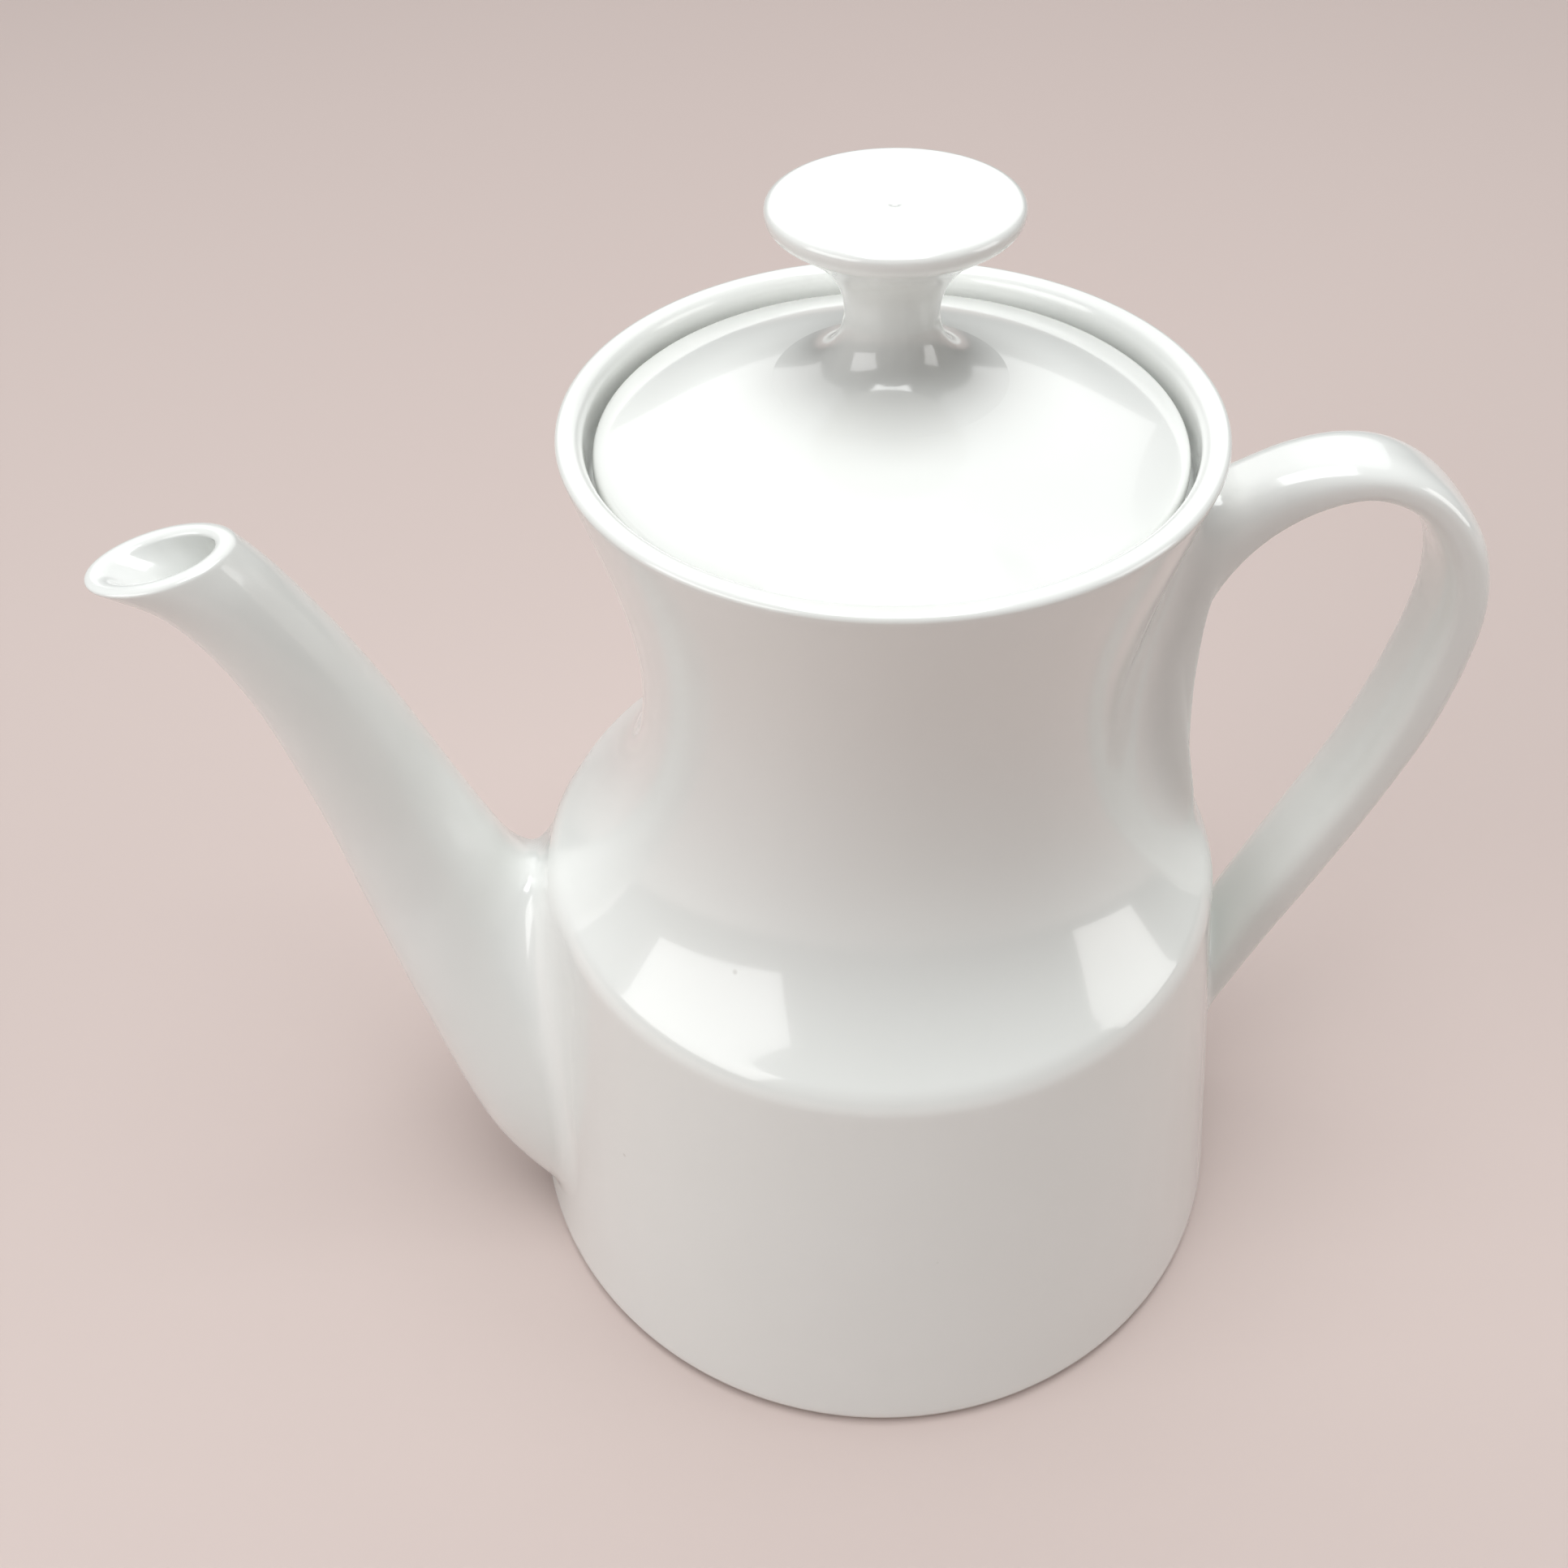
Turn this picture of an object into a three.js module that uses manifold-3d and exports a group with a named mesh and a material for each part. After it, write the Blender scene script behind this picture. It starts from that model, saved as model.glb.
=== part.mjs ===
// Porcelain coffee pot with a lift-off lid.
// Millimetres, +Z up, standing on z = 0. The spout points along -X and the handle along +X.
// Every piece is drawn with the pot's turning axis on Z, and the whole is centred in X at the end.

import * as THREE from 'three';
import { mergeVertices } from 'three/addons/utils/BufferGeometryUtils.js';
import Module from 'manifold-3d';

const wasm = await Module();
wasm.setup();

// Pot body
const BASE_RADIUS = 70;
const BASE_ROUNDING = 3;
const SHOULDER_RADIUS = 58.6;
const SHOULDER_HEIGHT = 84;
const SHOULDER_SET_IN = 2.5;
const SHOULDER_RISE = 4.3;
const WAIST_RADIUS = 38.5;
const WAIST_HEIGHT = 128;
const LIP_RADIUS = 46.5;
const LIP_HEIGHT = 170.8;
const LIP_ROUNDING = 1.1;
const WALL = 4;
const FLOOR_CORNER_WIDTH = 4.5;
const FLOOR_CORNER_RISE = 4;

// Control points of the concave sweep between the shoulder, the waist and the lip
const SHOULDER_SWEEP = [48, 95];
const LOWER_WAIST_SWEEP = 104;
const UPPER_WAIST_SWEEP = 143;
const LIP_SWEEP = [43.5, 158];

// Foot ring, a flat band under the edge of the base
const FOOT_OUTER = 66.5;
const FOOT_INNER = 61;
const FOOT_DEPTH = 2.5;

// Gallery, the step inside the lip that the lid sits on
const GALLERY_RADIUS = 42.7;
const LEDGE_HEIGHT = 162.5;
const THROAT_RADIUS = 37.2;

// Lid
const LID_RADIUS = 41.7;
const LID_EDGE_HEIGHT = 167.3;
const LID_CROWN_HEIGHT = 177.6;
const LID_EDGE_ROUNDING = 0.9;
const LID_THICKNESS = 4.2;
const FLANGE_OUTER = 36.2;
const FLANGE_WALL = 3;
const FLANGE_BOTTOM = 150;
const FLANGE_TAPER = 0.4;
const FLANGE_ROUNDING = 1;

// Knob
const KNOB_RADIUS = 16.55;
const KNOB_HEIGHT = 200.6;
const KNOB_FOOT = 11;
const KNOB_STEM = 6.4;
const KNOB_STEM_HEIGHT = 186.6;
const KNOB_RIM = 2;
const KNOB_RIM_ROUNDING = 0.5;
const KNOB_DISH = 0.6;

// Gap between pieces that touch
const GAP = 0.3;

// Spout wall, and how far the cut for its bore runs out past the mouth
const SPOUT_WALL = 3.1;
const BORE_RUNOUT_X = 2.2;
const BORE_RUNOUT_Z = 5;

// Fineness of the round, spout and handle meshes
const ROUND_SEGMENTS = 48;
const SPOUT_STEPS = 34;
const SPOUT_SIDES = 20;
const HANDLE_STEPS = 56;
const HANDLE_SIDES = 16;

const GLAZE_COLOUR = 0xe9ebe4;
const GLAZE_ROUGHNESS = 0.15;

// ---------------------------------------------------------------- helpers

/** Lathe around Z from a list of [radius, height] pairs. */
function turned(profile) {
  const points = profile.map(([radius, height]) => new THREE.Vector2(radius, height));
  const geometry = new THREE.LatheGeometry(points, ROUND_SEGMENTS);
  return geometry.rotateX(Math.PI / 2);
}

/** Cubic curve from one [radius, height] to another, leaving out its first point. */
function bend(from, controlA, controlB, to, steps) {
  const curve = new THREE.CubicBezierCurve(...[from, controlA, controlB, to]
    .map(([radius, height]) => new THREE.Vector2(radius, height)));
  return curve.getPoints(steps).slice(1).map(({ x, y }) => [x, y]);
}

/** Solid for cutting and joining, made from a closed geometry. */
function solid(geometry) {
  const bare = geometry.clone();
  bare.deleteAttribute('normal');
  bare.deleteAttribute('uv');
  const merged = mergeVertices(bare, 1e-4);
  return new wasm.Manifold(new wasm.Mesh({
    numProp: 3,
    vertProperties: new Float32Array(merged.attributes.position.array),
    triVerts: new Uint32Array(merged.index.array),
  }));
}

/** Geometry from a solid. */
function geometryOf(manifold) {
  const { vertProperties, triVerts } = manifold.getMesh();
  const geometry = new THREE.BufferGeometry();
  geometry.setAttribute('position', new THREE.BufferAttribute(new Float32Array(vertProperties), 3));
  geometry.setIndex(new THREE.BufferAttribute(new Uint32Array(triVerts), 1));
  geometry.computeVertexNormals();
  return geometry;
}

/** Smooth curve in the XZ plane through a list of [x, z] pairs. */
function plane(points) {
  const path = new THREE.CatmullRomCurve3(points.map(([x, z]) => new THREE.Vector3(x, 0, z)));
  path.curveType = 'centripetal';
  return path;
}

/**
 * Closed body between two edge curves in the XZ plane. Each section is a rounded
 * rectangle or an oval that runs from one edge to the other and reaches a half
 * width to both sides in Y. A squareness of 2 is an oval, and a bias makes it
 * an egg with its broad end towards the second edge.
 */
function loft(edgeA, edgeB, halfWidth, squareness, bias, steps, sides) {
  const vertices = [];
  const faces = [];
  for (let i = 0; i <= steps; i += 1) {
    const t = i / steps;
    const a = edgeA.getPoint(t);
    const b = edgeB.getPoint(t);
    const centre = a.clone().add(b).multiplyScalar(0.5);
    const reach = b.clone().sub(a).multiplyScalar(0.5);
    for (let j = 0; j < sides; j += 1) {
      const angle = (j / sides) * 2 * Math.PI;
      const c = Math.cos(angle);
      const s = Math.sin(angle);
      const size = (Math.abs(c) ** squareness + Math.abs(s) ** squareness) ** (-1 / squareness);
      const side = halfWidth(t) * (1 + bias(t) * c) * s * size;
      vertices.push(centre.x + reach.x * c * size, side, centre.z + reach.z * c * size);
    }
  }
  for (let i = 0; i < steps; i += 1) {
    for (let j = 0; j < sides; j += 1) {
      const here = i * sides + j;
      const next = i * sides + ((j + 1) % sides);
      faces.push(here, next, here + sides, next, next + sides, here + sides);
    }
  }
  for (let j = 1; j < sides - 1; j += 1) {
    const end = steps * sides;
    faces.push(0, j + 1, j, end, end + j, end + j + 1);
  }
  const geometry = new THREE.BufferGeometry();
  geometry.setAttribute('position', new THREE.Float32BufferAttribute(vertices, 3));
  geometry.setIndex(faces);
  return geometry;
}

/** Smooth function of t through evenly spaced values. */
function graded(values) {
  const path = new THREE.SplineCurve(values.map((value, i) => new THREE.Vector2(i, value)));
  return (t) => path.getPoint(t).y;
}

/** A solid made positive, whichever way its faces were wound. */
function outward(geometry) {
  const made = solid(geometry);
  if (made.volume() > 0) return made;
  const index = Array.from(geometry.index.array);
  for (let i = 0; i < index.length; i += 3) [index[i], index[i + 1]] = [index[i + 1], index[i]];
  geometry.setIndex(index);
  return solid(geometry);
}

/** Named mesh in its own glazed material. */
function piece(name, geometry) {
  const material = new THREE.MeshStandardMaterial({ color: GLAZE_COLOUR, roughness: GLAZE_ROUGHNESS });
  const mesh = new THREE.Mesh(geometry, material);
  mesh.name = name;
  return mesh;
}

// ---------------------------------------------------------------- pot body

/** Outside of the pot from the edge of the base up to the lip, grown by an offset. */
function outsideProfile(grow) {
  const foot = [BASE_RADIUS + grow, BASE_ROUNDING];
  const edge = [SHOULDER_RADIUS + grow, SHOULDER_HEIGHT];
  const shoulderTop = [SHOULDER_RADIUS - SHOULDER_SET_IN + grow * 0.6,
    SHOULDER_HEIGHT + SHOULDER_RISE + grow * 0.8];
  const waist = [WAIST_RADIUS + grow, WAIST_HEIGHT];
  const lip = [LIP_RADIUS + grow, LIP_HEIGHT - LIP_ROUNDING];
  return [
    foot,
    edge,
    ...bend(edge, [edge[0] - 0.3, edge[1] + 1.8], [shoulderTop[0] + 1.1, shoulderTop[1] - 0.9],
      shoulderTop, 4),
    ...bend(shoulderTop, [SHOULDER_SWEEP[0] + grow, SHOULDER_SWEEP[1]],
      [WAIST_RADIUS + grow, LOWER_WAIST_SWEEP], waist, 9),
    ...bend(waist, [WAIST_RADIUS + grow, UPPER_WAIST_SWEEP], [LIP_SWEEP[0] + grow, LIP_SWEEP[1]], lip, 8),
  ];
}

/** Inside of the pot from the floor up to the gallery ledge. */
function insideProfile() {
  const corner = BASE_RADIUS - WALL - 1.5;
  const floor = FOOT_DEPTH + WALL;
  const edge = [SHOULDER_RADIUS - WALL, SHOULDER_HEIGHT - 1];
  const waist = [WAIST_RADIUS - WALL, WAIST_HEIGHT];
  const throatFoot = [THROAT_RADIUS - 0.4, 151];
  return [
    [0, floor],
    [corner - FLOOR_CORNER_WIDTH, floor],
    [corner, floor + FLOOR_CORNER_RISE],
    edge,
    ...bend(edge, [45, 88.5], [WAIST_RADIUS - WALL, LOWER_WAIST_SWEEP], waist, 8),
    ...bend(waist, [WAIST_RADIUS - WALL, 138], [36, 146], throatFoot, 4),
    [THROAT_RADIUS, LEDGE_HEIGHT],
  ];
}

/** Turned shell of the pot, with its foot ring and its gallery. */
function shell() {
  const outside = outsideProfile(0);
  const inside = insideProfile();
  return outward(turned([
    [0, FOOT_DEPTH],
    [FOOT_INNER - FOOT_DEPTH, FOOT_DEPTH],
    [FOOT_INNER, 0],
    [FOOT_OUTER, 0],
    ...outside,
    [LIP_RADIUS - LIP_ROUNDING, LIP_HEIGHT],
    [GALLERY_RADIUS + LIP_ROUNDING, LIP_HEIGHT],
    [GALLERY_RADIUS, LIP_HEIGHT - LIP_ROUNDING],
    [GALLERY_RADIUS, LEDGE_HEIGHT],
    ...inside.reverse(),
  ]));
}

/** The pot's outside as a full solid, grown by the gap, that the spout and handle are cut by. */
function core() {
  const outside = outsideProfile(GAP);
  const [[footRadius]] = outside;
  return outward(turned([[0, -1], [footRadius - 3, -1], ...outside, [0, LIP_HEIGHT]]));
}

// ---------------------------------------------------------------- spout

// Edges in the XZ plane from the mouth down into the pot, and half widths beside them
const SPOUT_UPPER = [[-96.7, 152.5], [-92.8, 147.2], [-89.9, 142.3], [-84.7, 132.4], [-78.6, 118],
  [-73.3, 102.7], [-68.6, 89.6], [-63.8, 78.6], [-54, 69.5], [-40, 65]];
const SPOUT_LOWER = [[-120.4, 148], [-111.4, 143.1], [-105.7, 135.7], [-101.2, 124.8], [-98.2, 112.1],
  [-95.5, 97.2], [-92.8, 80.5], [-86.6, 53.2], [-77.8, 21.2], [-66.5, 1]];
const SPOUT_HALF_WIDTH = [8.7, 8.4, 8.5, 9.1, 10.2, 11.8, 14.3, 19.3, 25, 28];
const SPOUT_BIAS = [0, 0, 0, 0, 0, 0, 0.06, 0.22, 0.32, 0.34];

// Last part of the bore, which narrows to the hole through the wall of the pot
const BORE_ROOT_UPPER = [[-63, 75.5], [-53, 71], [-40, 69]];
const BORE_ROOT_LOWER = [[-84.6, 55], [-76, 40], [-58, 33]];
const BORE_ROOT_HALF_WIDTH = [14.5, 13, 12];

/** Outside of the spout as a full solid. */
function spoutOutside() {
  return outward(loft(plane(SPOUT_UPPER), plane(SPOUT_LOWER), graded(SPOUT_HALF_WIDTH), 2,
    graded(SPOUT_BIAS), SPOUT_STEPS, SPOUT_SIDES));
}

/** Passage through the spout, from beyond its mouth to the inside of the pot. */
function spoutBore() {
  const upper = [];
  const lower = [];
  const lofted = SPOUT_UPPER.length - BORE_ROOT_UPPER.length;
  for (let i = 0; i < lofted; i += 1) {
    const [ux, uz] = SPOUT_UPPER[i];
    const [lx, lz] = SPOUT_LOWER[i];
    const across = Math.hypot(lx - ux, lz - uz);
    const inX = ((lx - ux) / across) * SPOUT_WALL;
    const inZ = ((lz - uz) / across) * SPOUT_WALL;
    upper.push([ux + inX, uz + inZ]);
    lower.push([lx - inX, lz - inZ]);
  }
  const widths = SPOUT_HALF_WIDTH.slice(0, lofted).map((width) => width - SPOUT_WALL);
  upper.unshift([upper[0][0] - BORE_RUNOUT_X, upper[0][1] + BORE_RUNOUT_Z]);
  lower.unshift([lower[0][0] - BORE_RUNOUT_X, lower[0][1] + BORE_RUNOUT_Z]);
  widths.unshift(widths[0]);
  return outward(loft(plane([...upper, ...BORE_ROOT_UPPER]), plane([...lower, ...BORE_ROOT_LOWER]),
    graded([...widths, ...BORE_ROOT_HALF_WIDTH]), 2, () => 0, SPOUT_STEPS, SPOUT_SIDES));
}

// ---------------------------------------------------------------- handle

// Edges in the XZ plane from the neck, over the arch and down to the wall
const HANDLE_OUTER = [[30, 149], [36, 151.5], [41, 153.4], [46, 155.8], [52, 158.8], [59, 161.5],
  [66.2, 162.4], [73.6, 161], [81.5, 156.3], [88, 148.6], [91.4, 139.7], [92.3, 130.4], [90.6, 113.6],
  [86.1, 96.5], [80, 77.9], [73, 58.8], [66, 38.9], [60, 22]];
const HANDLE_INNER = [[46, 80], [54.2, 90.5], [51.6, 103], [49, 118], [47.2, 133.5], [52, 145.8],
  [59.5, 153.3], [68, 156.2], [76, 153.4], [81.8, 145.6], [84, 137.8], [84.3, 130.5], [82.3, 115.3],
  [78.6, 100.1], [72.3, 82.7], [65.8, 64.4], [60.2, 45], [54, 28]];
const HANDLE_HALF_WIDTH = [9.5, 9, 8.4, 7.8, 7.1, 6.8, 6.8, 6.9, 7.1, 7.4, 7.6, 7.7, 7.8, 7.8, 7.8, 7.9,
  8.3, 9];

const HANDLE_SQUARENESS = 3;

/** The handle as a full solid that reaches into the pot at both ends. */
function handleForm() {
  return outward(loft(plane(HANDLE_OUTER), plane(HANDLE_INNER), graded(HANDLE_HALF_WIDTH),
    HANDLE_SQUARENESS, () => 0, HANDLE_STEPS, HANDLE_SIDES));
}

// ---------------------------------------------------------------- lid

/** Domed plate that lies on the ledge. */
function lidPlate() {
  const underside = LEDGE_HEIGHT + GAP;
  const crown = [0, LID_CROWN_HEIGHT];
  const hollow = [0, LID_CROWN_HEIGHT - LID_THICKNESS];
  const hollowEdge = [FLANGE_OUTER - FLANGE_WALL - 1, underside];
  const edge = [LID_RADIUS, LID_EDGE_HEIGHT - LID_EDGE_ROUNDING];
  return turned([
    hollow,
    ...bend(hollow, [12, hollow[1]], [22, 170], hollowEdge, 6),
    [LID_RADIUS - LID_EDGE_ROUNDING, underside],
    [LID_RADIUS, underside + LID_EDGE_ROUNDING],
    edge,
    ...bend(edge, [LID_RADIUS - 0.4, LID_EDGE_HEIGHT + 0.2], [18, LID_CROWN_HEIGHT], crown, 9),
  ]);
}

/** Ring under the plate that reaches down into the throat. */
function lidFlange() {
  const inner = FLANGE_OUTER - FLANGE_WALL;
  const lower = FLANGE_OUTER - FLANGE_TAPER;
  return turned([
    [inner, LEDGE_HEIGHT],
    [inner, FLANGE_BOTTOM + FLANGE_ROUNDING],
    [inner + FLANGE_ROUNDING, FLANGE_BOTTOM],
    [lower - FLANGE_ROUNDING, FLANGE_BOTTOM],
    [lower, FLANGE_BOTTOM + FLANGE_ROUNDING],
    [FLANGE_OUTER, LEDGE_HEIGHT],
    [inner, LEDGE_HEIGHT],
  ]);
}

/** Round knob with a barely dished top, flaring out of a short stem. */
function lidKnob() {
  const seat = LID_CROWN_HEIGHT + GAP;
  const foot = [KNOB_FOOT, seat];
  const stem = [KNOB_STEM, KNOB_STEM_HEIGHT];
  const rim = [KNOB_RADIUS - KNOB_RIM_ROUNDING, KNOB_HEIGHT - KNOB_RIM];
  return turned([
    [0, seat],
    foot,
    ...bend(foot, [KNOB_STEM + 1.6, seat + 1.4], [KNOB_STEM, seat + 4], stem, 5),
    ...bend(stem, [KNOB_STEM, stem[1] + 6], [rim[0] - 5, rim[1] - 4.6], rim, 6),
    [KNOB_RADIUS, KNOB_HEIGHT - KNOB_RIM_ROUNDING],
    [KNOB_RADIUS - KNOB_RIM_ROUNDING, KNOB_HEIGHT],
    [0, KNOB_HEIGHT - KNOB_DISH],
  ]);
}

// ---------------------------------------------------------------- assembly

const potCore = core();
const bore = spoutBore();

const pot = new THREE.Group();
pot.add(piece('pot_body', geometryOf(shell().subtract(bore))));
pot.add(piece('pot_spout', geometryOf(spoutOutside().subtract(bore).subtract(potCore))));
pot.add(piece('pot_handle', geometryOf(handleForm().subtract(potCore))));

const lid = new THREE.Group();
lid.add(piece('lid_plate', lidPlate()));
lid.add(piece('lid_flange', lidFlange()));
lid.add(piece('lid_knob', lidKnob()));

const coffeePot = new THREE.Group();
coffeePot.add(pot, lid);

// The origin is under the middle of the whole object, so the pot's axis stands a little towards +X
const extent = new THREE.Box3().setFromObject(coffeePot);
coffeePot.position.x = -(extent.min.x + extent.max.x) / 2;

export default coffeePot;
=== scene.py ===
"""Looks of the white porcelain coffee pot.

Lengths in the shape functions are millimetres from the pot's turning axis, with the
spout towards -X and the handle towards +X. build_mesh turns them into metres in the row frame.
"""

import math

import bpy
import numpy as np
from mathutils import Matrix, Vector
from mathutils.bvhtree import BVHTree


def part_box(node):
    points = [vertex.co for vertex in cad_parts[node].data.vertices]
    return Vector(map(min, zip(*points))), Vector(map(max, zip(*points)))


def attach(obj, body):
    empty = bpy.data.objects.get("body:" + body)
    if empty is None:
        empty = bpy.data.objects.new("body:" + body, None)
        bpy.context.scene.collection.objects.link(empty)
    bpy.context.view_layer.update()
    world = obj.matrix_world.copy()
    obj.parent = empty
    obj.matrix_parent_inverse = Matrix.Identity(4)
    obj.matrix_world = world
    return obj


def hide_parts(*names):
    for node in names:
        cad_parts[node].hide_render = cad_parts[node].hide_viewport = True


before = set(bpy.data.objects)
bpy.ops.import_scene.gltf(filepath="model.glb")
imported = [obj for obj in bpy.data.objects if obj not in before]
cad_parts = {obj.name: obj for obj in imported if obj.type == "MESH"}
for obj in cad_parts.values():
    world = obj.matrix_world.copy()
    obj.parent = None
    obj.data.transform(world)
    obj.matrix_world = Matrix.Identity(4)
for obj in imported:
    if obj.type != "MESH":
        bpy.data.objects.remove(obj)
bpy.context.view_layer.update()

FINE = 1.0
MM = 0.001
TINY = 1e-6
# How far a rounded corner's controls go towards its sharp tip
CORNER_PULL = 0.56

# The pot's turning axis is the middle of its lid
lid_low, lid_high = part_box("lid_plate")
AXIS_X = (lid_low.x + lid_high.x) / 2


# ------------------------------------------------------------------ curves

def bezier(start, control_a, control_b, end, count):
    """Points on a cubic curve, without its first one."""
    t = np.linspace(0, 1, count + 1)[1:, None]
    points = (start, control_a, control_b, end)
    start, control_a, control_b, end = (np.array(p, float) for p in points)
    return (
        (1 - t) ** 3 * start
        + 3 * (1 - t) ** 2 * t * control_a
        + 3 * (1 - t) * t * t * control_b
        + t ** 3 * end
    )


def line(start, end, count):
    """Points on a straight line, without its first one."""
    t = np.linspace(0, 1, count + 1)[1:, None]
    return (1 - t) * np.array(start, float) + t * np.array(end, float)


def corner(before, tip, after, count):
    """Points of a rounded corner from one point to another around its sharp tip."""
    a, b, c = (np.array(p, float) for p in (before, tip, after))
    return bezier(a, a + (b - a) * CORNER_PULL, c + (b - c) * CORNER_PULL, c, count)


def spline(points, count):
    """Centripetal Catmull-Rom curve through points, which gives each span the same share."""
    p = np.array(points, float)
    p = np.vstack([2 * p[0] - p[1], p, 2 * p[-1] - p[-2]])
    spans = len(p) - 3
    t = np.linspace(0, spans, count)
    i = np.minimum(t.astype(int), spans - 1)
    u = (t - i)[:, None]
    p0, p1, p2, p3 = p[i], p[i + 1], p[i + 2], p[i + 3]
    d01, d12, d23 = (
        np.sqrt(np.linalg.norm(b - a, axis=1, keepdims=True)) + 1e-9
        for a, b in ((p0, p1), (p1, p2), (p2, p3))
    )
    m1 = (p1 - p0) / d01 - (p2 - p0) / (d01 + d12) + (p2 - p1) / d12
    m2 = (p2 - p1) / d12 - (p3 - p1) / (d12 + d23) + (p3 - p2) / d23
    m1, m2 = m1 * d12, m2 * d12
    return (
        (2 * u ** 3 - 3 * u ** 2 + 1) * p1
        + (u ** 3 - 2 * u ** 2 + u) * m1
        + (-2 * u ** 3 + 3 * u ** 2) * p2
        + (u ** 3 - u ** 2) * m2
    )


def graded(values, count):
    """Smooth run of single values."""
    steps = np.arange(len(values), dtype=float)
    return spline(np.stack([steps, values], 1), count)[:, 1]


# ------------------------------------------------------------------ meshes

def turned(profile, around):
    """Vertices and faces of a turned surface. The profile runs from axis to axis or closes."""
    profile = np.array(profile, float)
    on_axis = profile[0][0] < TINY
    ring_profile = profile[1:-1] if on_axis else profile
    angle = np.linspace(0, 2 * math.pi, around, endpoint=False)
    r, z = ring_profile[:, 0][:, None], ring_profile[:, 1][:, None]
    vertices = np.stack([r * np.cos(angle), r * np.sin(angle), z + 0 * angle], -1).reshape(-1, 3)
    rings = len(ring_profile)
    faces = tube_faces(rings, around, closed=not on_axis)
    if on_axis:
        first, last = len(vertices), len(vertices) + 1
        vertices = np.vstack([vertices, [[0, 0, profile[0][1]], [0, 0, profile[-1][1]]]])
        step = np.arange(around)
        after = (step + 1) % around
        end = (rings - 1) * around
        faces += [(first, int(b), int(a)) for a, b in zip(step, after)]
        faces += [(last, int(end + a), int(end + b)) for a, b in zip(step, after)]
    return vertices, faces


def tube_faces(rings, around, closed=False):
    """Quads between rings of vertices, whose last ring joins the first when closed."""
    i, j = np.meshgrid(np.arange(rings if closed else rings - 1), np.arange(around), indexing="ij")
    i, j = i.ravel(), j.ravel()
    i2, j2 = (i + 1) % rings, (j + 1) % around
    quads = np.stack([i * around + j, i * around + j2, i2 * around + j2, i2 * around + j], 1)
    return [tuple(q) for q in quads.tolist()]


def capped_tube(rings_of_points):
    """Closed surface through rings of points, with a fan over each end."""
    rings, around = rings_of_points.shape[:2]
    vertices = rings_of_points.reshape(-1, 3)
    centres = np.stack([rings_of_points[0].mean(0), rings_of_points[-1].mean(0)])
    first, last = len(vertices), len(vertices) + 1
    faces = tube_faces(rings, around)
    end = (rings - 1) * around
    for a in range(around):
        b = (a + 1) % around
        faces.append((first, b, a))
        faces.append((last, end + a, end + b))
    return np.vstack([vertices, centres]), faces


def build_mesh(name, vertices, faces, material, shading=None):
    """Blender object from millimetres around the pot's axis, facing outwards and shaded smooth.

    Shading holds a direction for each vertex, or zero to leave it to the faces around it.
    """
    placed = np.array(vertices, float) * MM
    placed[:, 0] += AXIS_X
    mesh = bpy.data.meshes.new(name)
    mesh.from_pydata(placed.tolist(), [], faces)
    mesh.update()
    if signed_volume(mesh) < 0:
        mesh.flip_normals()
    mesh.shade_smooth()
    if shading is not None:
        mesh.normals_split_custom_set_from_vertices(shading.tolist())
    mesh.materials.append(material)
    made = bpy.data.objects.new(name, mesh)
    bpy.context.scene.collection.objects.link(made)
    return made


def signed_volume(mesh):
    """Volume inside a closed mesh, negative when its faces look inwards."""
    mesh.calc_loop_triangles()
    co = np.zeros(len(mesh.vertices) * 3)
    mesh.vertices.foreach_get("co", co)
    co = co.reshape(-1, 3)
    tri = np.zeros(len(mesh.loop_triangles) * 3, int)
    mesh.loop_triangles.foreach_get("vertices", tri)
    a, b, c = (co[tri.reshape(-1, 3)[:, k]] for k in range(3))
    return float((a * np.cross(b, c)).sum() / 6)


# ------------------------------------------------------------------ pot body

def pot_outside():
    """Outer profile from the edge of the base to the lip."""
    edge = (58.6, 84)
    shoulder = (56.1, 88.3)
    waist = (38.5, 128)
    lip = (46.5, 169.9)
    return np.vstack([
        corner((66.9, 0), (70, 0), (70, 3.4), 10),
        line((70, 3.4), edge, 66),
        bezier(edge, (58.3, 85.8), (57.2, 87.4), shoulder, 12),
        bezier(shoulder, (48, 95), (38.5, 104), waist, 44),
        bezier(waist, (38.5, 143), (43.5, 158), lip, 44),
    ])


def pot_profile():
    """Section of the pot's wall, from the axis under the base to the axis on the floor inside."""
    return np.vstack([
        [[0, 2.6]],
        line((0, 2.6), (57.4, 2.3), 14),
        corner((57.4, 2.3), (60, 2.1), (60.9, 0.7), 6),
        corner((60.9, 0.7), (61.3, 0), (62.2, 0), 4),
        line((62.2, 0), (66.9, 0), 3),
        pot_outside(),
        corner((46.5, 169.9), (46.5, 170.8), (45.4, 170.8), 8),
        line((45.4, 170.8), (44.4, 170.8), 2),
        corner((44.4, 170.8), (42.9, 170.8), (42.7, 168.9), 9),
        line((42.7, 168.9), (42.7, 163.1), 6),
        corner((42.7, 163.1), (42.7, 162.5), (42.1, 162.5), 4),
        line((42.1, 162.5), (38, 162.5), 4),
        corner((38, 162.5), (37.2, 162.5), (37.2, 161.6), 5),
        bezier((37.2, 161.6), (37.1, 154), (34.5, 142), (34.5, 128), 26),
        bezier((34.5, 128), (34.5, 104), (45, 90.5), (52.6, 85.2), 32),
        bezier((52.6, 85.2), (53.8, 84.2), (54.5, 83.2), (54.8, 81), 6),
        line((54.8, 81), (64.4, 12.5), 30),
        corner((64.4, 12.5), (65.2, 6.5), (59, 6.5), 10),
        line((59, 6.5), (0, 6.5), 14),
    ])


# ------------------------------------------------------------------ spout

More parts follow.
